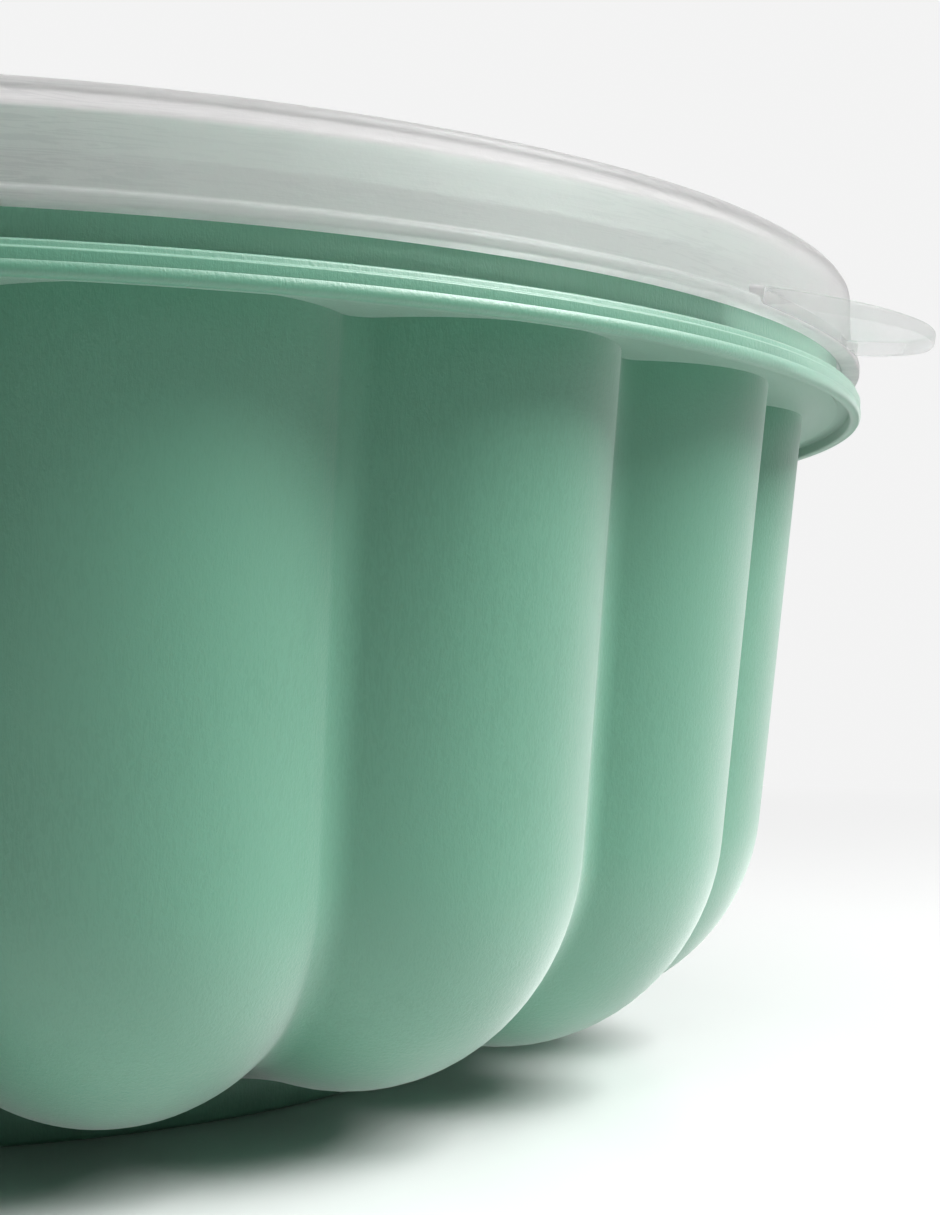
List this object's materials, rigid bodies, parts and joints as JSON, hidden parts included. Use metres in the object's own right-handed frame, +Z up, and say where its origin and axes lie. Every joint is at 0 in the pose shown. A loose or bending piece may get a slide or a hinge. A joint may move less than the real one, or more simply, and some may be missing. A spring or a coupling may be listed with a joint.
{
  "type": "jelly mould",
  "caption": "Round fluted ring mould for jelly, with a press-on tabbed lid and a centre plug that closes its crown.",
  "frame": {"origin": "on the mould's axis at floor level, in the plane of the foot collar that it stands on", "axes": "+Z up along the mould's axis, from the crown it stands on to the lid; +X through the middle of one flute; the pull tab points between +X and -Y"},
  "size_m": [0.2302, 0.2302, 0.0936],
  "materials": {
    "mould_plastic": "satin, fine moulded grain",
    "lid_plastic": "frosted, translucent",
    "plug_plastic": "frosted, translucent"
  },
  "bodies": {
    "mould": {"mould_body": "mould_plastic"},
    "lid": {"lid": "lid_plastic"},
    "plug": {"centre_plug": "plug_plastic"}
  },
  "joints": [
    {"name": "lid_lift", "type": "slide", "parent": "mould", "child": "lid", "axis": [0, 0, 1], "range_m": [0, 0.06]},
    {"name": "plug_pull", "type": "slide", "parent": "mould", "child": "plug", "axis": [0, 0, -1], "range_m": [0, 0.08]}
  ]
}
